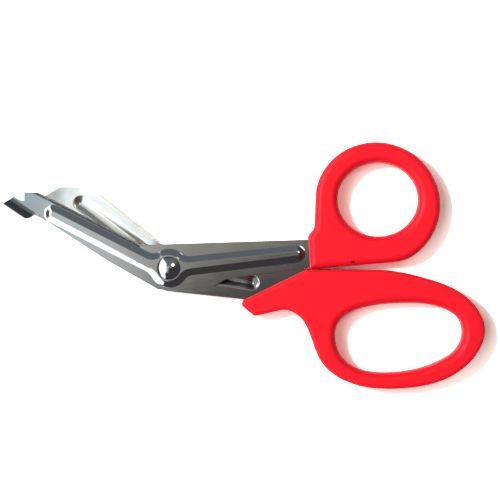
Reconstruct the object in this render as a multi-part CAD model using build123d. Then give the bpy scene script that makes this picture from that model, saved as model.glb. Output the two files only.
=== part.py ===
from build123d import *

import math
import os

# Angled bandage scissors, lying flat and closed, sizes in millimetres.
# The pivot axis is Z, with the origin where it meets the surface underneath.
# The tips point to -X, the handles to +X, and the thumb loop is on the +Y side.

# Sheet and stack of the two blades
SHEET = 1.6
SHEARED_EDGE_ROUND = 0.25
BLADE_GAP = 0.10
HANDLE_THICKNESS = 9.0
MATING_HEIGHT = HANDLE_THICKNESS / 2

# Pressed ribs and the round boss at the pivot
RIB_HEIGHT = 1.2
RIB_RUN = 2.0
RIB_TAPER = math.degrees(math.atan(RIB_RUN / RIB_HEIGHT))
GROOVE_INSET = 0.5
BOSS_RADIUS = 7.2
RIB_BLEND = 4.0
RIB_CREST_ROUND = 1.3
RIB_FOOT_ROUND = 1.2
GROOVE_BED_ROUND = 1.4
GROOVE_MOUTH_ROUND = 1.8

# Rivet
SHANK_RADIUS = 2.5
SHANK_CLEARANCE = 0.05
HEAD_RADIUS = 4.4
HEAD_HEIGHT = 1.9
HEAD_LAND = 0.35
HEAD_CLEARANCE = 0.05
TAIL_RADIUS = 3.6
TAIL_CHAMFER = 0.5

# Cutting edges
BEVEL_RUN = 1.0
BEVEL_LAND = 0.75
TOOTH_PITCH = 0.9
TOOTH_DEPTH = 0.22
TOOTH_SKIM = 0.03
TOOTH_END_MARGIN = 1.5
CUT_OVERRUN = 4.0

# Foot folded up along the tip of the foot blade, and the thinned tip corner
FOOT_START = (-51.8, 20.1)
FOOT_END = (-62.1, 27.0)
FOOT_HEIGHT = 4.6
FOOT_ANGLE = 38.0
FOOT_INNER_BEND = 2.2
FOOT_ROOT = 1.9
FOOT_HEEL_CORNER = 4.2
FOOT_TOE_CORNER = 1.0
FOOT_TOE_SLANT = 2.1
FOOT_EDGE_ROUND = 0.4
TIP_FACET_CORNER = (-55.3, 25.8)
TIP_FACET_ANGLE = 9.5
TIP_LAND = 0.4

# Outline of the foot blade: x, y and corner radius
FOOT_BLADE_HEEL = (-10.7, 8.8)
FOOT_BLADE_EDGE_END = (-50.1, 28.9)
FOOT_BLADE_TIP = (-58.9, 29.1)
FOOT_BLADE_TOE = (-60.5, 26.9)
FOOT_BLADE = [
    (*FOOT_BLADE_HEEL, 1.5),
    (*FOOT_BLADE_EDGE_END, 4.0),
    (*FOOT_BLADE_TIP, 1.2),
    (*FOOT_BLADE_TOE, 0.8),
    (-51.3, 20.1, 0.8),
    (-47.3, 18.1, 8.0),
    (-24.5, 3.2, 150.0),
    (-4.2, -8.3, 1.5),
    (14.3, -8.7, 6.0),
    (22.0, -4.2, 8.0),
    (52.8, -0.1, 0.5),
    (54.8, 1.0, 0.8),
    (76.0, 2.9, 2.0),
    (76.0, 9.6, 2.0),
    (58.6, 9.6, 1.0),
    (56.8, 11.0, 1.0),
]
FOOT_BLADE_RIB_START = (-0.9, -1.6)
FOOT_BLADE_RIB_END = (-44.2, 20.7)
FOOT_BLADE_TANG_RIB_END = (48.8, 5.5)

# Outline of the top blade: x, y and corner radius
TOP_BLADE_HEEL = (-12.0, 3.0)
TOP_BLADE_TIP = (-48.5, 27.1)
TOP_BLADE = [
    (*TOP_BLADE_HEEL, 1.0),
    (-9.5, -2.5, 4.0),
    (-1.8, -8.8, 4.0),
    (52.0, -14.5, 4.0),
    (71.5, -10.0, 2.0),
    (71.0, -4.0, 2.0),
    (53.4, -3.2, 0.5),
    (51.4, 0.0, 0.5),
    (22.0, 1.6, 10.0),
    (10.0, 8.2, 5.0),
    (-3.4, 9.1, 3.0),
    (-31.1, 31.1, 8.0),
    (-42.2, 31.1, 2.0),
    (*TOP_BLADE_TIP, 0.4),
]
TOP_BLADE_RIB_START = (0.0, 0.0)
TOP_BLADE_RIB_END = (-33.8, 24.9)
TOP_BLADE_TANG_RIB_END = (31.6, -5.6)

RIB_ROOT_RADIUS = 3.5
RIB_TIP_RADIUS = 3.2
TANG_RIB_ROOT_RADIUS = 3.5
TANG_RIB_TIP_RADIUS = 3.1

# Holes in the tangs through which the plastic runs
KEY_HOLE_RADIUS = 1.8
FOOT_BLADE_KEY_HOLE = (68.0, 6.5)
TOP_BLADE_KEY_HOLE = (62.0, -7.5)

# Thumb handle
STOP_GAP = 0.3
THUMB_EDGE_ROUND = 2.4
THUMB_HOLE_CORNER = (64.5, 12.1)
THUMB_HOLE_LENGTH = 31.0
THUMB_HOLE_WIDTH = 28.2
THUMB_HOLE_CENTRE = (
    THUMB_HOLE_CORNER[0] + THUMB_HOLE_LENGTH / 2,
    THUMB_HOLE_CORNER[1] + THUMB_HOLE_WIDTH / 2,
)
THUMB_COLLAR_LOW = (54.0, -0.3)
THUMB_COLLAR_HIGH = (53.2, 12.4)
THUMB_NECK = (55.7, 15.2)
THUMB_NECK_CORNER = 3.0
THUMB_COLLAR_CORNER = 2.8
THUMB_SIDE_WALL = 8.3
THUMB_SIDE_RISE = 1.8
THUMB_SIDE_TOP = (
    THUMB_HOLE_CORNER[0] - THUMB_SIDE_WALL,
    THUMB_HOLE_CENTRE[1] + THUMB_SIDE_RISE,
)
THUMB_BOTTOM_END = (82.0, 1.9)

# Wall round the thumb hole: angle from +X about its centre, and thickness
THUMB_LOOP_WALL = [
    (-66.5, 10.85),
    (-44.0, 10.2),
    (-6.7, 8.35),
    (41.0, 7.3),
    (92.0, 7.8),
    (139.0, 8.4),
]
PIN_HOLE_CENTRE = (70.2, 2.4)
PIN_HOLE_RADIUS = 0.65

# Finger handle
FINGER_EDGE_ROUND = 1.5
LOOP_ROUND = 2.8
FINGER_TOP_CORNER = (52.6, THUMB_COLLAR_LOW[1] - STOP_GAP)
FINGER_TOP_FALL = 0.1
FINGER_TOP_END = (80.0, FINGER_TOP_CORNER[1] - FINGER_TOP_FALL)
FINGER_LOOP = [
    (98.3, -3.9),
    (112.2, -9.9),
    (120.6, -23.0),
    (114.2, -36.6),
    (99.5, -44.4),
    (84.5, -46.1),
    (68.3, -43.5),
    (58.3, -36.0),
    (53.6, -24.5),
    (49.6, -18.4),
]
FINGER_NOTCH_END = (42.5, -16.1)
PRONG_LOW = (32.6, -18.4)
PRONG_TIP = (26.5, -13.3)
PRONG_CORNER = 1.6
FINGER_HOLE = [
    (63.6, -26.8),
    (65.9, -19.4),
    (74.0, -15.2),
    (89.1, -13.4),
    (104.0, -15.1),
    (111.3, -20.3),
    (111.4, -28.8),
    (103.7, -35.5),
    (85.0, -40.0),
    (70.5, -37.6),
]


def rounded_outline(corners):
    """Face with straight sides and rounded corners, from x, y and radius."""
    points = [(x, y) for x, y, radius in corners]
    radii = [radius for x, y, radius in corners]
    return make_face(FilletPolyline(*points, radius=radii, close=True))


def tapered_leg(start, start_radius, end, end_radius):
    """Straight strip with round ends of two radii and tangent sides."""
    along = Vector(*end) - Vector(*start)
    bearing = math.atan2(along.Y, along.X)
    spread = math.acos((start_radius - end_radius) / along.length)

    def rim(centre, radius, angle):
        return Vector(*centre) + Vector(math.cos(angle), math.sin(angle)) * radius

    start_left = rim(start, start_radius, bearing + spread)
    start_right = rim(start, start_radius, bearing - spread)
    end_left = rim(end, end_radius, bearing + spread)
    end_right = rim(end, end_radius, bearing - spread)
    return make_face(
        [
            Line(start_right, end_right),
            ThreePointArc(end_right, rim(end, end_radius, bearing), end_left),
            Line(end_left, start_left),
            ThreePointArc(
                start_left, rim(start, start_radius, bearing + math.pi), start_right
            ),
        ]
    )


def rib_plan(blade_start, blade_end, tang_end, inset):
    """Plan of the pressed rib: a boss at the pivot with a leg to each side."""
    boss_radius = BOSS_RADIUS - inset
    plan = Circle(boss_radius)
    plan += tapered_leg(
        blade_start, RIB_ROOT_RADIUS - inset, blade_end, RIB_TIP_RADIUS - inset
    )
    plan += tapered_leg(
        (0, 0), TANG_RIB_ROOT_RADIUS - inset, tang_end, TANG_RIB_TIP_RADIUS - inset
    )
    corners = [
        vertex
        for vertex in plan.vertices()
        if abs(Vector(vertex).length - boss_radius) < 0.001
    ]
    return fillet(corners, RIB_BLEND)


def pressed_form(plan, crest_round):
    """Solid of a pressed shape: sloping flanks and a flat crest with a soft edge."""
    form = extrude(plan, RIB_HEIGHT, taper=RIB_TAPER)
    return fillet(form.edges().group_by(Axis.Z)[-1], crest_round)


def inner_edges(blank, level):
    """Edges of the loop inside the blank's large flat face at a level."""
    flats = blank.faces().filter_by_position(Axis.Z, level, level)
    return flats.sort_by(SortBy.AREA)[-1].inner_wires()[0].edges()


def blade_blank(outline, start, end, tang_end, key_hole):
    """Blank with its rib pressed outward, the matching groove inside, and holes."""
    blank = extrude(outline, SHEET)
    blank = fillet(blank.edges().group_by(Axis.Z)[-1], SHEARED_EDGE_ROUND)
    rib = pressed_form(rib_plan(start, end, tang_end, 0), RIB_CREST_ROUND)
    groove_plan = rib_plan(start, end, tang_end, GROOVE_INSET)
    groove = pressed_form(groove_plan, GROOVE_BED_ROUND)
    blank += Pos(0, 0, SHEET) * rib
    blank = fillet(inner_edges(blank, SHEET), RIB_FOOT_ROUND)
    blank -= groove
    blank = fillet(inner_edges(blank, 0), GROOVE_MOUTH_ROUND)
    hole_height = SHEET + RIB_HEIGHT * 2
    blank -= extrude(Circle(SHANK_RADIUS + SHANK_CLEARANCE), hole_height)
    blank -= Pos(*key_hole) * extrude(Circle(KEY_HOLE_RADIUS), SHEET)
    return blank


def bevel_cutter(heel, tip, inward, land):
    """Wedge that grinds the outer face away along an edge, down to a land."""
    along = Vector(*tip) - Vector(*heel)
    direction = along.normalized()
    plane = Plane(
        origin=(*heel, 0),
        x_dir=(inward.X, inward.Y, 0),
        z_dir=(direction.X, direction.Y, 0),
    )
    up = plane.y_dir.Z
    reach = BEVEL_RUN / (SHEET - BEVEL_LAND) * SHEET
    profile = make_face(
        Polyline(
            (0, land * up),
            (reach, (land + SHEET) * up),
            (-SHEET, (land + SHEET) * up),
            (-SHEET, land * up),
            close=True,
        )
    )
    return extrude(plane * profile, along.length + CUT_OVERRUN)


def tooth_cutter(heel, tip, inward):
    """Saw profile that notches a cutting edge from heel to tip."""
    along = Vector(*tip) - Vector(*heel)
    direction = along.normalized()
    count = int((along.length - TOOTH_END_MARGIN * 2) / TOOTH_PITCH)
    start = Vector(*heel) + direction * TOOTH_END_MARGIN

    def place(travel, depth):
        return start + direction * travel + inward * depth

    saw = [place(0, -CUT_OVERRUN)]
    for index in range(count):
        saw.append(place(TOOTH_PITCH * index, TOOTH_SKIM))
        saw.append(place(TOOTH_PITCH * (index + 0.5), TOOTH_DEPTH))
    saw.append(place(TOOTH_PITCH * count, TOOTH_SKIM))
    saw.append(place(TOOTH_PITCH * count, -CUT_OVERRUN))
    return extrude(make_face(Polyline(*saw, close=True)), SHEET)


def folded_foot():
    """Blunt foot: a lip folded up and leaning out, with rounded free corners."""
    along = Vector(*FOOT_END) - Vector(*FOOT_START)
    direction = along.normalized()
    plane = Plane(
        origin=(*FOOT_START, 0),
        x_dir=(-direction.Y, direction.X, 0),
        z_dir=(direction.X, direction.Y, 0),
    )
    lean = math.radians(FOOT_ANGLE)
    lip = Vector(math.cos(lean), math.sin(lean))
    across = Vector(-lip.Y, lip.X) * SHEET
    outer_top = lip * FOOT_HEIGHT
    inner_top = outer_top + across
    inner_corner = across + lip * ((SHEET - across.Y) / lip.Y)
    section = rounded_outline(
        [
            (-FOOT_ROOT, 0, 0),
            (0, 0, FOOT_INNER_BEND + SHEET),
            (outer_top.X, outer_top.Y, FOOT_EDGE_ROUND),
            (inner_top.X, inner_top.Y, FOOT_EDGE_ROUND),
            (inner_corner.X, inner_corner.Y, FOOT_INNER_BEND),
            (-FOOT_ROOT, SHEET, 0),
        ]
    )
    lip_solid = extrude(plane * section, along.length)
    plan_plane = Plane(
        origin=(*FOOT_START, 0),
        x_dir=(direction.X, direction.Y, 0),
        z_dir=(0, 0, 1),
    )
    plan = rounded_outline(
        [
            (0, -FOOT_ROOT, 0),
            (along.length - FOOT_TOE_SLANT, -FOOT_ROOT, 0),
            (along.length, outer_top.X, FOOT_TOE_CORNER),
            (0, outer_top.X, FOOT_HEEL_CORNER),
        ]
    )
    return lip_solid & extrude(plan_plane * plan, inner_top.Y)


def tip_facet_cutter():
    """Block whose sloping underside thins the corner of the tip."""
    size = TIP_FACET_CORNER[0] - FOOT_END[0] + CUT_OVERRUN
    block = Pos(-size / 2, size / 2, size / 2) * Box(size, size, size)
    tilted = Rot(0, -TIP_FACET_ANGLE, 0) * block
    return Pos(*TIP_FACET_CORNER, SHEET) * tilted


def edge_inward(heel, tip, side):
    """Unit vector square to a cutting edge, from the edge into the blade."""
    along = (Vector(*tip) - Vector(*heel)).normalized()
    return Vector(-along.Y, along.X) * side


def heading(start, end):
    """Unit vector from one point to another."""
    return (Vector(*end) - Vector(*start)).normalized()


def thumb_loop_point(angle, wall):
    """Point on the outside of the thumb loop, a wall's thickness from its hole."""
    turn = math.radians(angle)
    return (
        THUMB_HOLE_CENTRE[0] + math.cos(turn) * (THUMB_HOLE_LENGTH / 2 + wall),
        THUMB_HOLE_CENTRE[1] + math.sin(turn) * (THUMB_HOLE_WIDTH / 2 + wall),
    )


def moulded_loop(outline, hole, edge_round):
    """Handle plate with a loop through it and soft edges all round."""
    plate = extrude(outline, HANDLE_THICKNESS)
    plate = fillet(
        plate.edges().group_by(Axis.Z)[0] + plate.edges().group_by(Axis.Z)[-1],
        edge_round,
    )
    opening = extrude(hole, HANDLE_THICKNESS)
    plate -= opening
    rim = [
        face.inner_wires()[0].edges()
        for face in plate.faces().filter_by(Plane.XY)
        if face.inner_wires()
    ]
    return fillet(rim[0] + rim[1], LOOP_ROUND)


# Foot blade: inner face down on the mating plane, rib upward
foot_blade_flat = blade_blank(
    rounded_outline(FOOT_BLADE),
    FOOT_BLADE_RIB_START,
    FOOT_BLADE_RIB_END,
    FOOT_BLADE_TANG_RIB_END,
    FOOT_BLADE_KEY_HOLE,
)
foot_blade_inward = edge_inward(FOOT_BLADE_HEEL, FOOT_BLADE_EDGE_END, 1)
foot_blade_flat -= bevel_cutter(
    FOOT_BLADE_HEEL, FOOT_BLADE_EDGE_END, foot_blade_inward, BEVEL_LAND
)
toe_inward = edge_inward(FOOT_BLADE_TOE, FOOT_BLADE_TIP, -1)
foot_blade_flat -= bevel_cutter(FOOT_BLADE_TOE, FOOT_BLADE_TIP, toe_inward, TIP_LAND)
foot_blade_flat -= tip_facet_cutter()
foot_blade_flat += folded_foot()
foot_blade = Pos(0, 0, MATING_HEIGHT + BLADE_GAP / 2) * foot_blade_flat

# Top blade: the same pressing turned over, rib downward
top_blade_flat = blade_blank(
    rounded_outline(TOP_BLADE),
    TOP_BLADE_RIB_START,
    TOP_BLADE_RIB_END,
    TOP_BLADE_TANG_RIB_END,
    TOP_BLADE_KEY_HOLE,
)
top_blade_inward = edge_inward(TOP_BLADE_HEEL, TOP_BLADE_TIP, -1)
top_blade_flat -= bevel_cutter(
    TOP_BLADE_HEEL, TOP_BLADE_TIP, top_blade_inward, BEVEL_LAND
)
top_blade_flat -= tooth_cutter(TOP_BLADE_HEEL, TOP_BLADE_TIP, top_blade_inward)
top_blade_turned = mirror(top_blade_flat, about=Plane.XY)
top_blade = Pos(0, 0, MATING_HEIGHT - BLADE_GAP / 2) * top_blade_turned

# Rivet: dome head above, plain shank, peened tail level with the handles below
head_seat = MATING_HEIGHT + BLADE_GAP / 2 + SHEET + RIB_HEIGHT + HEAD_CLEARANCE
tail_seat = MATING_HEIGHT - BLADE_GAP / 2 - SHEET - RIB_HEIGHT
dome_start = head_seat + HEAD_LAND
dome_top = head_seat + HEAD_HEIGHT
dome_rise = HEAD_HEIGHT - HEAD_LAND
dome_radius = (HEAD_RADIUS**2 + dome_rise**2) / (2 * dome_rise)
rivet_profile = make_face(
    [
        Polyline(
            (0, dome_top),
            (0, 0),
            (TAIL_RADIUS - TAIL_CHAMFER, 0),
            (TAIL_RADIUS, TAIL_CHAMFER),
            (TAIL_RADIUS, tail_seat),
            (SHANK_RADIUS, tail_seat),
            (SHANK_RADIUS, head_seat),
            (HEAD_RADIUS, head_seat),
            (HEAD_RADIUS, dome_start),
        ),
        RadiusArc((HEAD_RADIUS, dome_start), (0, dome_top), -dome_radius),
    ]
)
pivot_rivet = revolve(Plane.XZ * rivet_profile, Axis.Z)

# Thumb handle
thumb_outline = make_face(
    [
        Line(THUMB_COLLAR_LOW, THUMB_BOTTOM_END),
        Spline(
            THUMB_BOTTOM_END,
            *[thumb_loop_point(angle, wall) for angle, wall in THUMB_LOOP_WALL],
            THUMB_SIDE_TOP,
            tangents=[
                heading(THUMB_COLLAR_LOW, THUMB_BOTTOM_END),
                heading(THUMB_SIDE_TOP, THUMB_NECK),
            ],
            tangent_scalars=[1, 1],
        ),
        FilletPolyline(
            THUMB_SIDE_TOP,
            THUMB_NECK,
            THUMB_COLLAR_HIGH,
            THUMB_COLLAR_LOW,
            radius=[THUMB_NECK_CORNER, THUMB_COLLAR_CORNER],
        ),
    ]
)
thumb_hole = Pos(*THUMB_HOLE_CENTRE) * Ellipse(
    THUMB_HOLE_LENGTH / 2, THUMB_HOLE_WIDTH / 2
)
thumb_handle = moulded_loop(thumb_outline, thumb_hole, THUMB_EDGE_ROUND)
pin_hole = extrude(Circle(PIN_HOLE_RADIUS), HANDLE_THICKNESS)
pin_hole_floor = MATING_HEIGHT + BLADE_GAP / 2 + SHEET
thumb_handle -= Pos(*PIN_HOLE_CENTRE, pin_hole_floor) * pin_hole
thumb_handle -= foot_blade

# Finger handle
finger_outline = make_face(
    [
        Line(FINGER_TOP_CORNER, FINGER_TOP_END),
        Spline(
            FINGER_TOP_END,
            *FINGER_LOOP,
            FINGER_NOTCH_END,
            tangents=[
                heading(FINGER_TOP_CORNER, FINGER_TOP_END),
                heading(FINGER_NOTCH_END, PRONG_LOW),
            ],
            tangent_scalars=[1, 1],
        ),
        FilletPolyline(
            FINGER_NOTCH_END,
            PRONG_LOW,
            PRONG_TIP,
            FINGER_TOP_CORNER,
            radius=[PRONG_CORNER, PRONG_CORNER],
        ),
    ]
)
finger_hole = make_face(Spline(*FINGER_HOLE, periodic=True))
finger_handle = moulded_loop(finger_outline, finger_hole, FINGER_EDGE_ROUND)
finger_handle -= top_blade

os.makedirs("parts", exist_ok=True)
export_step(foot_blade, "parts/foot_blade.step")
export_step(top_blade, "parts/top_blade.step")
export_step(thumb_handle, "parts/thumb_handle.step")
export_step(finger_handle, "parts/finger_handle.step")
export_step(pivot_rivet, "parts/pivot_rivet.step")
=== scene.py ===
"""Angled bandage scissors lying closed on a pale floor, seen from straight above."""

import logging
import math
from dataclasses import dataclass
from enum import Enum

import bpy
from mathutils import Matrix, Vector

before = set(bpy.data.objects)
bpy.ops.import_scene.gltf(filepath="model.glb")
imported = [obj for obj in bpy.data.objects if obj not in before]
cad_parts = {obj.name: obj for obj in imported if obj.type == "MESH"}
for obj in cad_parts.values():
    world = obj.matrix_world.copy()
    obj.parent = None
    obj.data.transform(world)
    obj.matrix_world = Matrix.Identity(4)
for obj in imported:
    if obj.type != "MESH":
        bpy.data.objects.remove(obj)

LOG = logging.getLogger("bandage_scissors")
MILLIMETRE = 0.001
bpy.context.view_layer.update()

Colour = tuple[float, float, float]
Triple = tuple[float, float, float]
Pair = tuple[float, float]
Socket = bpy.types.NodeSocket
Value = float | Colour | Socket

WHITE: Colour = (1.0, 1.0, 1.0)
BARE_METAL = 1.0

# Directions: from the pivot to the handles, across to the thumb loop, and up
ALONG: Triple = (1.0, 0.0, 0.0)
ACROSS: Triple = (0.0, 1.0, 0.0)
UP: Triple = (0.0, 0.0, 1.0)
FLATTENED: Triple = (1.0, 1.0, 0.0)

# Ends of a step, below it and above it
RISING: Pair = (0.0, 1.0)
FALLING: Pair = (1.0, 0.0)

# Sockets of the mix node, by number, because several have the same name
MIX_SHARE = 0
MIX_NUMBERS = (2, 3)
MIX_COLOURS = (6, 7)
MIXED_NUMBER = 0
MIXED_COLOUR = 2


class Sum(Enum):
    """Sums that the math node does."""

    ADD = "ADD"
    SUBTRACT = "SUBTRACT"
    MULTIPLY = "MULTIPLY"
    MAXIMUM = "MAXIMUM"
    ABSOLUTE = "ABSOLUTE"
    SINE = "SINE"


class RayKind(Enum):
    """Kinds of ray that the light path node tells apart."""

    CAMERA = "Is Camera Ray"
    GLOSSY = "Is Glossy Ray"
    TRANSMISSION = "Is Transmission Ray"
    DIFFUSE = "Is Diffuse Ray"


class Piece(Enum):
    """The five solids of the pair, by the name of their node."""

    FOOT_BLADE = "foot_blade"
    TOP_BLADE = "top_blade"
    THUMB_HANDLE = "thumb_handle"
    FINGER_HANDLE = "finger_handle"
    PIVOT_RIVET = "pivot_rivet"


class Graph:
    """Short calls that add and wire the nodes of one shader tree."""

    def __init__(self, tree: bpy.types.NodeTree) -> None:
        """Empties the tree.

        Args:
            tree: the node tree of a material or of the world.
        """
        tree.nodes.clear()
        self.tree = tree

    def add(self, kind: str, inputs: dict | None = None, **settings: str) -> bpy.types.Node:
        """Adds a node.

        Args:
            kind: the node's class, without the leading ShaderNode.
            inputs: values or sockets for its inputs, by name or number.
            settings: the node's own properties.

        Returns:
            The new node.
        """
        node = self.tree.nodes.new("ShaderNode" + kind)
        for name, value in settings.items():
            setattr(node, name, value)
        for name, value in (inputs or {}).items():
            self.feed(node.inputs[name], value)
        return node

    def feed(self, socket: Socket, value: Value) -> None:
        """Links a socket to the input, or sets the input's own value.

        Args:
            socket: the input.
            value: a socket, a number or a colour.
        """
        if isinstance(value, bpy.types.NodeSocket):
            self.tree.links.new(value, socket)
        elif socket.type == "RGBA":
            socket.default_value = (*value, 1.0)
        else:
            socket.default_value = value

    def math(self, operation: Sum, first: Value, second: Value = 0.0) -> Socket:
        """Adds a math node.

        Args:
            operation: what is done with the numbers.
            first: the first number.
            second: the second number, where the operation takes one.

        Returns:
            The result.
        """
        return self.add("Math", {0: first, 1: second}, operation=operation.value).outputs[0]

    def both(self, first: Socket, second: Socket) -> Socket:
        """Adds the mask of what two masks share."""
        return self.math(Sum.MULTIPLY, first, second)

    def dot(self, vector: Socket, direction: Triple) -> Socket:
        """Adds a dot product.

        Args:
            vector: the vector to measure.
            direction: the direction to measure it along.

        Returns:
            How far the vector goes in the direction.
        """
        node = self.add("VectorMath", {0: vector, 1: direction}, operation="DOT_PRODUCT")
        return node.outputs["Value"]

    def length(self, vector: Socket) -> Socket:
        """Adds the length of a vector."""
        return self.add("VectorMath", {0: vector}, operation="LENGTH").outputs["Value"]

    def distance(self, point: Socket, direction: Triple) -> Socket:
        """Measures how far a place lies from the origin in a direction, in millimetres.

        Args:
            point: the place, in metres.
            direction: the direction, of length 1.

        Returns:
            The distance.
        """
        return self.dot(point, tuple(share / MILLIMETRE for share in direction))

    def step(self, value: Value, over: Pair, ends: Pair = RISING) -> Socket:
        """Adds a smooth step from one value to another.

        Args:
            value: the number that drives the step.
            over: the numbers at which the step starts and stops.
            ends: the results below the step and above it.

        Returns:
            The stepped number.
        """
        inputs = {
            "Value": value,
            "From Min": over[0],
            "From Max": over[1],
            "To Min": ends[0],
            "To Max": ends[1],
        }
        return self.add("MapRange", inputs, interpolation_type="SMOOTHSTEP").outputs["Result"]

    def span(self, value: Value, onto: Pair) -> Socket:
        """Adds a straight map of 0 to 1 onto another span.

        Args:
            value: a number from 0 to 1.
            onto: the results at 0 and at 1.

        Returns:
            The mapped number.
        """
        node = self.add("MapRange", {"Value": value, "To Min": onto[0], "To Max": onto[1]})
        return node.outputs["Result"]

    def mix(self, share: Value, first: Value, second: Value) -> Socket:
        """Adds a mix of two colours.

        Args:
            share: how much of the second colour there is.
            first: the first colour.
            second: the second colour.

        Returns:
            The mixed colour.
        """
        inputs = {MIX_SHARE: share, MIX_COLOURS[0]: first, MIX_COLOURS[1]: second}
        return self.add("Mix", inputs, data_type="RGBA").outputs[MIXED_COLOUR]

    def blend(self, share: Value, first: Value, second: Value) -> Socket:
        """Adds a mix of two numbers.

        Args:
            share: how much of the second number there is.
            first: the first number.
            second: the second number.

        Returns:
            The mixed number.
        """
        inputs = {MIX_SHARE: share, MIX_NUMBERS[0]: first, MIX_NUMBERS[1]: second}
        return self.add("Mix", inputs).outputs[MIXED_NUMBER]

    def scaled(self, vector: Socket, scale: Triple, turn: float = 0.0) -> Socket:
        """Adds a mapping that turns about Z and then stretches.

        Args:
            vector: the point to map.
            scale: the stretch along each axis.
            turn: the angle about Z, in degrees.

        Returns:
            The mapped point.
        """
        rotation = (0.0, 0.0, math.radians(turn))
        turned = self.add("Mapping", {"Vector": vector, "Rotation": rotation}).outputs[0]
        return self.add("Mapping", {"Vector": turned, "Scale": scale}).outputs[0]

    def noise(self, vector: Socket, detail: float, scale: float = 1.0) -> Socket:
        """Adds a noise texture.

        Args:
            vector: the point at which it is read.
            detail: how many octaves it has.
            scale: how fine it is.

        Returns:
            The noise, from 0 to 1.
        """
        inputs = {"Vector": vector, "Scale": scale, "Detail": detail}
        return self.add("TexNoise", inputs).outputs[0]

    def bump(self, height: Socket, depth: float, below: Socket | None = None) -> Socket:
        """Adds a bump.

        Args:
            height: the relief, from 0 to 1.
            depth: how far it stands out, in millimetres.
            below: the normal of a bump under this one.

        Returns:
            The bumped normal.
        """
        inputs = {"Height": height, "Strength": 1.0, "Distance": depth * MILLIMETRE}
        node = self.add("Bump", inputs)
        if below is not None:
            self.feed(node.inputs["Normal"], below)
        return node.outputs[0]

    def rays(self, *kinds: RayKind) -> Socket:
        """Adds a test for kinds of ray.

        Args:
            kinds: the kinds to look for.

        Returns:
            1 where the ray is one of them.
        """
        path = self.add("LightPath")
        total = path.outputs[kinds[0].value]
        for kind in kinds[1:]:
            total = self.math(Sum.MAXIMUM, total, path.outputs[kind.value])
        return total

    def finish(self, shader: Socket, output: str = "OutputMaterial") -> None:
        """Wires a shader to the tree's output."""
        self.add(output, {"Surface": shader})


def start_finish(name: str) -> tuple[bpy.types.Material, Graph, Socket]:
    """Starts the material of a finish.

    Args:
        name: the name of the material.

    Returns:
        The material, its tree, and the place on the piece that is being shaded.
    """
    made = bpy.data.materials.new(name)
    made.use_nodes = True
    graph = Graph(made.node_tree)
    return made, graph, graph.add("TexCoord").outputs["Object"]


@dataclass(frozen=True)
class Coat:
    """A finish that lies over another wherever its mask is 1; some coats carry painted light and
    shade.
    """

    mask: Socket
    colour: Value
    roughness: Value


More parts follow.
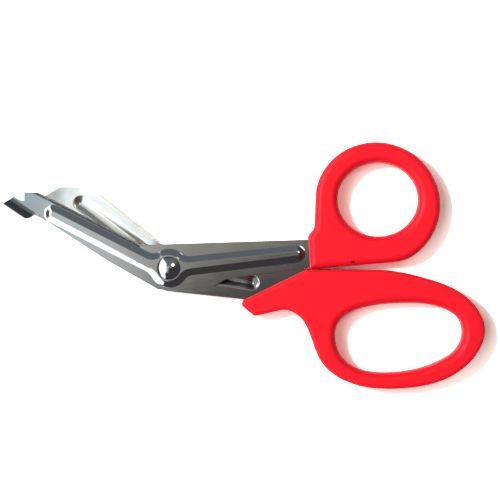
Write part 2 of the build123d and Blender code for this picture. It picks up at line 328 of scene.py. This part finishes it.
@dataclass(frozen=True)
class InnerFace:
    """The inner side of a blade: a ground flat, round a groove that the press left matt; the groove
    carries painted light and shade, and the flat painted shade towards the tip.

    Heights are in millimetres from the flat, and places along the blade are in
    millimetres from the pivot, with the cutting leg below 0 and the tang above.
    """

    level: float
    looks_up: bool
    leg_end: Pair = (-7.0, -3.0)
    flat_edge: Pair = (-0.03, -0.0075)
    groove_edge: Pair = (-0.06, -0.03)
    groove_bed: Pair = (-1.28, -1.25)
    # Painted light: the groove in the leg is coloured lighter than the sheet; its matt finish is the
    # roughness.
    leg_groove_painted_light: Colour = (0.74, 0.74, 0.71)
    groove_roughness: float = 0.30
    # Painted shade: the groove in the tang is coloured darker, darkest at its closed end.
    tang_groove_painted_shade: Colour = (0.40, 0.40, 0.39)
    tang_groove_roughness: float = 0.24
    tang_groove_end: Pair = (28.0, 31.0)
    tang_groove_end_painted_shade: Colour = (0.12, 0.12, 0.115)
    colour: Colour = (0.80, 0.81, 0.81)
    roughness: Pair = (0.30, 0.42)
    # Painted shade: the ground flat is coloured darker towards the tip, along a patchy edge.
    tip_painted_shade: Colour = (0.27, 0.285, 0.27)
    tip_fade: Pair = (-45.0, -25.0)
    tip_mottle: float = 9.0
    line_scale: Triple = (2600.0, 90.0, 90.0)
    line_turn: float = 30.0
    line_detail: float = 3.0
    line_depth: float = 0.002

    def height(self, graph: Graph, point: Socket) -> Socket:
        """Finds how far a place stands out from the flat, in millimetres.

        Args:
            graph: the tree of the blade's finish.
            point: the place on the blade.

        Returns:
            0 on the flat, and less below it.
        """
        side = 1.0 if self.looks_up else -1.0
        outward = (0.0, 0.0, side)
        return graph.math(Sum.SUBTRACT, graph.distance(point, outward), side * self.level)

    def leg(self, graph: Graph, point: Socket) -> Socket:
        """Finds the cutting leg.

        Args:
            graph: the tree of the blade's finish.
            point: the place on the blade.

        Returns:
            1 on the leg, 0 at the pivot and beyond, and a soft step between.
        """
        return graph.step(graph.distance(point, ALONG), self.leg_end, FALLING)

    def ground(self, graph: Graph, point: Socket) -> Socket:
        """Finds where the grinding wheel has been.

        Args:
            graph: the tree of the blade's finish.
            point: the place on the blade.

        Returns:
            1 on the flat of the leg and 0 elsewhere.
        """
        flat = graph.step(self.height(graph, point), self.flat_edge)
        return graph.both(flat, self.leg(graph, point))

    def groove(self, graph: Graph, point: Socket) -> Socket:
        """Finds the groove, from just below the flat down to its bed.

        Args:
            graph: the tree of the blade's finish.
            point: the place on the blade.

        Returns:
            1 in the groove and 0 elsewhere.
        """
        height = self.height(graph, point)
        above_bed = graph.step(height, self.groove_bed)
        below_flat = graph.step(height, self.groove_edge, FALLING)
        return graph.both(above_bed, below_flat)

    def lines(self, graph: Graph, point: Socket) -> Socket:
        """Finds the relief of the grinding lines.

        Args:
            graph: the tree of the blade's finish.
            point: the place on the blade.

        Returns:
            The relief, from 0 to 1.
        """
        return graph.noise(graph.scaled(point, self.line_scale, self.line_turn), self.line_detail)

    def painted_tang_groove_shade(self, graph: Graph, point: Socket) -> Socket:
        """Finds the painted shade of the groove in the tang, which is darker at its closed end.

        Args:
            graph: the tree of the blade's finish.
            point: the place on the blade.

        Returns:
            The colour.
        """
        share = graph.step(graph.distance(point, ALONG), self.tang_groove_end)
        return graph.mix(share, self.tang_groove_painted_shade, self.tang_groove_end_painted_shade)

    def ground_colour_and_painted_tip_shade(self, graph: Graph, point: Socket, cloud: Socket) -> Socket:
        """Finds the colour of the ground flat, with painted shade darkening it towards the tip along
        a patchy edge.

        Args:
            graph: the tree of the blade's finish.
            point: the place on the blade.
            cloud: the noise that makes the patches.

        Returns:
            The colour.
        """
        drift = graph.math(Sum.MULTIPLY, cloud, self.tip_mottle)
        place = graph.math(Sum.ADD, graph.distance(point, ALONG), drift)
        return graph.mix(graph.step(place, self.tip_fade), self.tip_painted_shade, self.colour)


@dataclass(frozen=True)
class PressedSteel:
    """Bright stainless sheet, with the fine grain that rolling leaves.

    Depths are in millimetres, and so is the place of the rib's end, from the pivot.
    A slope is 1 on a level face and 0 on an upright one.
    """

    name: str
    grain_turn: float
    inner: InnerFace
    colour: Colour = (0.60, 0.61, 0.62)
    dull_colour: Colour = (0.54, 0.55, 0.56)
    roughness: Pair = (0.09, 0.16)
    grain_scale: Triple = (60.0, 3200.0, 3200.0)
    grain_detail: float = 4.0
    grain_depth: float = 0.0015
    cloud_scale: float = 220.0
    cloud_detail: float = 3.0
    ripple_scale: float = 90.0
    ripple_detail: float = 1.0
    ripple_depth: float = 0.02
    rib_end: Pair = (48.6, 50.2)
    rib_end_slope: Pair = (0.90, 0.96)
    # Painted shade on the slope at the rib's end, with a rougher finish.
    rib_end_painted_shade: Colour = (0.17, 0.165, 0.16)
    rib_end_roughness: float = 0.30
    edge_slope: Pair = (0.80, 0.85)
    # Painted shade on the upright sheared edges of the tang, with a rough finish.
    edge_painted_shade: Colour = (0.26, 0.26, 0.26)
    edge_roughness: float = 0.5

    def slope(self, graph: Graph) -> Socket:
        """Finds how level a face lies: 1 where it is flat and 0 where it is upright."""
        normal = graph.add("NewGeometry").outputs["Normal"]
        return graph.math(Sum.ABSOLUTE, graph.dot(normal, UP))

    def painted_rib_end_shade(self, graph: Graph, point: Socket) -> Socket:
        """Finds the slope at the end of the rib, close by the handle, which gets painted shade and a
        rougher finish.

        Args:
            graph: the tree of the finish.
            point: the place on the blade.

        Returns:
            1 on the slope at the end of the rib and 0 elsewhere.
        """
        end = graph.step(graph.distance(point, ALONG), self.rib_end)
        return graph.both(graph.step(self.slope(graph), self.rib_end_slope, FALLING), end)

    def sheared(self, graph: Graph, point: Socket) -> Socket:
        """Finds the upright edges along the tang, which the shear left rough and which get painted
        shade.

        Args:
            graph: the tree of the finish.
            point: the place on the blade.

        Returns:
            1 on the sheared edges and 0 elsewhere.
        """
        tang = graph.math(Sum.SUBTRACT, 1.0, self.inner.leg(graph, point))
        return graph.both(graph.step(self.slope(graph), self.edge_slope, FALLING), tang)

    def coats(self, graph: Graph, point: Socket, cloud: Socket, ground: Socket) -> tuple[Coat, ...]:
        """Lists the finishes, and the painted light and shade, that lie over the polished sheet.

        Args:
            graph: the tree of the finish.
            point: the place on the blade.
            cloud: the noise that makes patches.
            ground: the mask of the ground flat.

        Returns:
            The coats, the lowest first.
        """
        inner = self.inner
        groove = inner.groove(graph, point)
        leg_groove = graph.both(groove, inner.leg(graph, point))
        ground_roughness = graph.span(cloud, inner.roughness)
        # Painted shade in the tang's groove, at the rib's end and on the sheared edges; painted
        # light in the leg's groove; painted shade towards the tip of the flat.
        return (
            Coat(groove, inner.painted_tang_groove_shade(graph, point), inner.tang_groove_roughness),
            Coat(leg_groove, inner.leg_groove_painted_light, inner.groove_roughness),
            Coat(ground, inner.ground_colour_and_painted_tip_shade(graph, point, cloud), ground_roughness),
            Coat(self.painted_rib_end_shade(graph, point), self.rib_end_painted_shade, self.rib_end_roughness),
            Coat(self.sheared(graph, point), self.edge_painted_shade, self.edge_roughness),
        )

    def relief(self, graph: Graph, point: Socket, grain: Socket, ground: Socket) -> Socket:
        """Lays the ripple of the sheet, its grain and the grinding lines over each other.

        Args:
            graph: the tree of the finish.
            point: the place on the blade.
            grain: the noise of the grain.
            ground: the mask of the ground flat.

        Returns:
            The bumped normal.
        """
        ripple = graph.noise(point, self.ripple_detail, self.ripple_scale)
        lines = graph.both(self.inner.lines(graph, point), ground)
        rippled = graph.bump(ripple, self.ripple_depth)
        grained = graph.bump(grain, self.grain_depth, rippled)
        return graph.bump(lines, self.inner.line_depth, grained)

    def material(self) -> bpy.types.Material:
        """Makes the material.

        Returns:
            The new material.
        """
        made, graph, point = start_finish(self.name)
        stretched = graph.scaled(point, self.grain_scale, self.grain_turn)
        grain = graph.noise(stretched, self.grain_detail)
        cloud = graph.noise(point, self.cloud_detail, self.cloud_scale)
        ground = self.inner.ground(graph, point)
        colour = graph.mix(cloud, self.colour, self.dull_colour)
        roughness = graph.span(graph.math(Sum.MULTIPLY, grain, cloud), self.roughness)
        for coat in self.coats(graph, point, cloud, ground):
            colour = graph.mix(coat.mask, colour, coat.colour)
            roughness = graph.blend(coat.mask, roughness, coat.roughness)
        surface = graph.add("BsdfPrincipled", {
            "Base Color": colour,
            "Metallic": BARE_METAL,
            "Roughness": roughness,
            "Normal": self.relief(graph, point, grain, ground),
        })
        graph.finish(surface.outputs[0])
        return made


@dataclass(frozen=True)
class TurnedSteel:
    """Polished rivet steel, with faint rings from the header and fine scuffs."""

    name: str
    colour: Colour = (0.62, 0.62, 0.63)
    roughness: Pair = (0.06, 0.12)
    ring_scale: float = 5200.0
    ring_depth: float = 0.0004
    scuff_scale: float = 900.0
    scuff_detail: float = 5.0

    def material(self) -> bpy.types.Material:
        """Makes the material.

        Returns:
            The new material.
        """
        made, graph, point = start_finish(self.name)
        radius = graph.length(graph.scaled(point, FLATTENED))
        turns = graph.math(Sum.MULTIPLY, radius, self.ring_scale * math.tau)
        rings = graph.math(Sum.SINE, turns)
        scuff = graph.noise(point, self.scuff_detail, self.scuff_scale)
        surface = graph.add("BsdfPrincipled", {
            "Base Color": self.colour,
            "Metallic": BARE_METAL,
            "Roughness": graph.span(scuff, self.roughness),
            "Normal": graph.bump(rings, self.ring_depth),
        })
        graph.finish(surface.outputs[0])
        return made


@dataclass(frozen=True)
class MouldedPlastic:
    """Red moulded plastic, with a soft gloss, a fine skin and a parting line.

    The height, width and depth of the line and the depth of the skin are in millimetres.
    """

    name: str
    colour: Colour = (0.88, 0.004, 0.016)
    pale_colour: Colour = (0.89, 0.006, 0.020)
    roughness: Pair = (0.46, 0.56)
    refraction: float = 1.49
    gloss: float = 0.22
    skin_scale: float = 2600.0
    skin_detail: float = 3.0
    skin_depth: float = 0.004
    flow_scale: Triple = (60.0, 110.0, 110.0)
    flow_detail: float = 3.0
    line_height: float = 4.5
    line_width: float = 0.12
    line_depth: float = 0.05

    def parting_line(self, graph: Graph, point: Socket) -> Socket:
        """Finds the line round the handle where the halves of the mould met.

        Args:
            graph: the tree of the finish.
            point: the place on the handle.

        Returns:
            1 on the line and 0 away from it.
        """
        level = graph.math(Sum.SUBTRACT, graph.dot(point, UP), self.line_height * MILLIMETRE)
        offset = graph.math(Sum.ABSOLUTE, level)
        return graph.step(offset, (0.0, self.line_width * MILLIMETRE), FALLING)

    def material(self) -> bpy.types.Material:
        """Makes the material.

        Returns:
            The new material.
        """
        made, graph, point = start_finish(self.name)
        skin = graph.noise(point, self.skin_detail, self.skin_scale)
        flow = graph.noise(graph.scaled(point, self.flow_scale), self.flow_detail)
        parted = graph.bump(self.parting_line(graph, point), self.line_depth)
        surface = graph.add("BsdfPrincipled", {
            "Base Color": graph.mix(flow, self.colour, self.pale_colour),
            "Roughness": graph.span(flow, self.roughness),
            "Normal": graph.bump(skin, self.skin_depth, parted),
            "IOR": self.refraction,
            "Specular IOR Level": self.gloss,
        })
        graph.finish(surface.outputs[0])
        return made


@dataclass(frozen=True)
class PaleFloor:
    """White paper that keeps the shadow, and that the camera sees as bright as the page.

    The paper fades into the page between two distances from its middle, in metres.
    """

    name: str
    colour: Colour = (0.80, 0.80, 0.80)
    shown_colour: Colour = (2.08, 2.0, 1.93)
    fade: Pair = (0.22, 0.42)
    page_strength: float = 1.0

    def material(self) -> bpy.types.Material:
        """Makes the material.

        Returns:
            The new material.
        """
        made, graph, point = start_finish(self.name)
        seen = graph.rays(RayKind.CAMERA, RayKind.GLOSSY, RayKind.TRANSMISSION)
        shade = graph.mix(seen, self.colour, self.shown_colour)
        paper = graph.add("BsdfDiffuse", {"Color": shade}).outputs[0]
        page = graph.add("Emission", {"Color": WHITE, "Strength": self.page_strength}).outputs[0]
        share = graph.both(seen, graph.step(graph.length(point), self.fade))
        graph.finish(graph.add("MixShader", {0: share, 1: paper, 2: page}).outputs[0])
        return made


def dress(piece: Piece, material: bpy.types.Material) -> None:
    """Gives a solid its finish.

    Args:
        piece: the solid.
        material: the finish.
    """
    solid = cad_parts[piece.value]
    if not solid.material_slots:
        solid.data.materials.append(material)
    for slot in solid.material_slots:
        slot.material = material
    LOG.info("%s is finished in %s", solid.name, material.name)


@dataclass
class Blades:
    """The two pressed blades, each cut from sheet with its own grain.

    The grain's turn is in degrees, and the level of the inner face in millimetres.
    """

    foot_finish: PressedSteel = PressedSteel(
        name="foot_blade_steel",
        grain_turn=-8.0,
        inner=InnerFace(level=4.55, looks_up=False),
    )
    top_finish: PressedSteel = PressedSteel(
        name="top_blade_steel",
        grain_turn=12.0,
        inner=InnerFace(level=4.45, looks_up=True),
    )

    def build(self) -> None:
        """Dresses both blades in pressed steel."""
        dress(Piece.FOOT_BLADE, self.foot_finish.material())
        dress(Piece.TOP_BLADE, self.top_finish.material())


@dataclass
class Pivot:
    """The rivet that the blades turn on."""

    finish: TurnedSteel = TurnedSteel("rivet_steel_polished")

    def build(self) -> None:
        """Dresses the rivet in polished steel."""
        dress(Piece.PIVOT_RIVET, self.finish.material())


@dataclass
class Handles:
    """The thumb loop and the finger loop, moulded in one red plastic."""

    finish: MouldedPlastic = MouldedPlastic("handle_plastic_red")

    def build(self) -> None:
        """Dresses both handles in one plastic."""
        plastic = self.finish.material()
        dress(Piece.THUMB_HANDLE, plastic)
        dress(Piece.FINGER_HANDLE, plastic)


@dataclass(frozen=True)
class Panel:
    """One rectangular lamp, with its place and its size in metres."""

    name: str
    place: Triple
    facing: Triple
    size: Pair
    brightness: float
    colour: Colour = WHITE

    def build(self) -> None:
        """Makes the lamp, with its width level."""
        width, height = self.size
        lamp = bpy.data.lights.new(self.name, "AREA")
        lamp.shape = "RECTANGLE"
        lamp.size = width
        lamp.size_y = height
        lamp.energy = self.brightness * math.pi * width * height
        lamp.color = self.colour
        stand = bpy.data.objects.new(self.name, lamp)
        stand.location = self.place
        stand.rotation_euler = Vector(self.facing).to_track_quat("-Z", "Y").to_euler()
        stand.visible_camera = False
        bpy.context.scene.collection.objects.link(stand)
        LOG.info("%s is lit", self.name)


@dataclass(frozen=True)
class Wash:
    """A colour that covers the room from one side, with a soft edge."""

    colour: Colour
    toward: Triple
    edge: Pair

    def over(self, graph: Graph, direction: Socket, below: Value) -> Socket:
        """Lays the colour over another.

        Args:
            graph: the tree of the world.
            direction: the direction that is looked in.
            below: the colour that it covers.

        Returns:
            The covered colour.
        """
        share = graph.step(graph.dot(direction, self.toward), self.edge)
        return graph.mix(share, below, self.colour)


@dataclass(frozen=True)
class Room:
    """The dim room that the metal mirrors, and the soft light that fills it."""

    wall: Colour = (0.065, 0.058, 0.062)
    wall_wash: Wash = Wash(colour=(0.17, 0.195, 0.215), toward=(-0.5, 0.87, 0.0), edge=(-0.3, 0.4))
    ceiling: Colour = (0.06, 0.05, 0.055)
    ceiling_washes: tuple[Wash, ...] = (
        Wash(colour=(0.47, 0.455, 0.375), toward=(-0.30, 1.0, 0.0), edge=(-0.021, 0.015)),
        Wash(colour=(0.90, 0.92, 0.95), toward=(-1.0, 0.0, 0.0), edge=(0.04, 0.15)),
        Wash(colour=(0.43, 0.62, 0.65), toward=(-1.0, 0.0, 0.0), edge=(0.142, 0.172)),
    )
    ceiling_edge: Pair = (0.80, 0.985)
    ceiling_end: Pair = (0.06, 0.35)
    skirting: Wash = Wash(colour=(0.045, 0.043, 0.046), toward=(0.0, 0.0, -1.0), edge=(-0.46, -0.28))
    horizon: Pair = (-0.05, 0.03)
    soft_light: Colour = (0.09, 0.085, 0.076)

    def mirrored(self, graph: Graph, toward: Socket) -> Socket:
        """Finds what the metal mirrors: ceiling, walls, skirting and the pale floor.

        Args:
            graph: the tree of the world.
            toward: the direction that is looked in.

        Returns:
            The colour.
        """
        upward = graph.dot(toward, UP)
        wall = self.wall_wash.over(graph, toward, self.wall)
        ceiling = self.ceiling
        for wash in self.ceiling_washes:
            ceiling = wash.over(graph, toward, ceiling)
        end = graph.step(graph.dot(toward, ACROSS), self.ceiling_end, FALLING)
        overhead = graph.both(graph.step(upward, self.ceiling_edge), end)
        room = self.skirting.over(graph, toward, graph.mix(overhead, wall, ceiling))
        return graph.mix(graph.step(upward, self.horizon), WHITE, room)

    def build(self) -> None:
        """Makes the world, with a white page for the camera."""
        world = bpy.data.worlds.new("studio")
        world.use_nodes = True
        bpy.context.scene.world = world
        graph = Graph(world.node_tree)
        toward = graph.add("TexCoord").outputs["Generated"]
        mirrored = self.mirrored(graph, toward)
        lit = graph.mix(graph.rays(RayKind.DIFFUSE), mirrored, self.soft_light)
        page = graph.rays(RayKind.CAMERA, RayKind.TRANSMISSION)
        light = graph.add("Background", {"Color": graph.mix(page, lit, WHITE)})
        graph.finish(light.outputs[0], "OutputWorld")


@dataclass
class Studio:
    """Floor, room, lamps and camera, with the sizes of floor and camera in millimetres."""

    centre: Pair = (30.98, 6.89)
    picture_width: float = 191.25
    focus_height: float = 6.0
    camera_distance: float = 500.0
    near_limit: float = 10.0
    sensor: float = 36.0
    floor_reach: float = 1200.0
    paper: PaleFloor = PaleFloor("floor_paper")
    room: Room = Room()
    lamps: tuple[Panel, ...] = (
        Panel(
            name="window_panel",
            place=(-0.9, 0.05, 1.60),
            facing=ALONG,
            size=(2.6, 2.4),
            brightness=1.9,
            colour=(0.98, 1.0, 1.0),
        ),
        Panel(
            name="low_window_panel",
            place=(-0.9, -1.7, 0.9),
            facing=ALONG,
            size=(0.9, 0.8),
            brightness=2.1,
            colour=(0.98, 1.0, 1.0),
        ),
        Panel(
            name="key_panel",
            place=(-0.72, 0.33, 1.02),
            facing=(0.56, -0.26, -0.79),
            size=(0.13, 0.13),
            brightness=224.0,
        ),
        Panel(
            name="small_panel",
            place=(0.474, 0.397, 1.03),
            facing=(-0.40, -0.33, -0.86),
            size=(0.36, 0.38),
            brightness=3.6,
            colour=(1.0, 0.97, 0.88),
        ),
    )

    @property
    def target(self) -> Vector:
        """The point at the middle of the picture."""
        return Vector((*self.centre, self.focus_height)) * MILLIMETRE

    def build(self) -> None:
        """Makes the floor, the room, the lamps and the camera."""
        self.build_floor()
        self.room.build()
        for lamp in self.lamps:
            lamp.build()
        self.build_camera()

    def build_floor(self) -> None:
        """Lays a square of paper under the scissors."""
        reach = self.floor_reach * MILLIMETRE
        corners = [
            (-reach, -reach, 0.0),
            (reach, -reach, 0.0),
            (reach, reach, 0.0),
            (-reach, reach, 0.0),
        ]
        mesh = bpy.data.meshes.new("pale_floor")
        mesh.from_pydata(corners, [], [range(len(corners))])
        floor = bpy.data.objects.new("pale_floor", mesh)
        floor.location = (self.target.x, self.target.y, 0.0)
        mesh.materials.append(self.paper.material())
        bpy.context.scene.collection.objects.link(floor)

    def build_camera(self) -> None:
        """Hangs the camera over the middle of the picture."""
        lens = bpy.data.cameras.new("overhead_camera")
        lens.sensor_width = self.sensor
        lens.lens = self.sensor * self.camera_distance / self.picture_width
        lens.clip_start = self.near_limit * MILLIMETRE
        camera = bpy.data.objects.new("overhead_camera", lens)
        camera.location = self.target + Vector(UP) * self.camera_distance * MILLIMETRE
        bpy.context.scene.collection.objects.link(camera)
        bpy.context.scene.camera = camera


def main() -> None:
    """Builds the scissors and the studio round them."""
    logging.basicConfig(level=logging.INFO, format="%(message)s")
    bpy.context.scene.view_settings.view_transform = "Standard"
    Blades().build()
    Pivot().build()
    Handles().build()
    Studio().build()


if __name__ == "__main__":
    main()
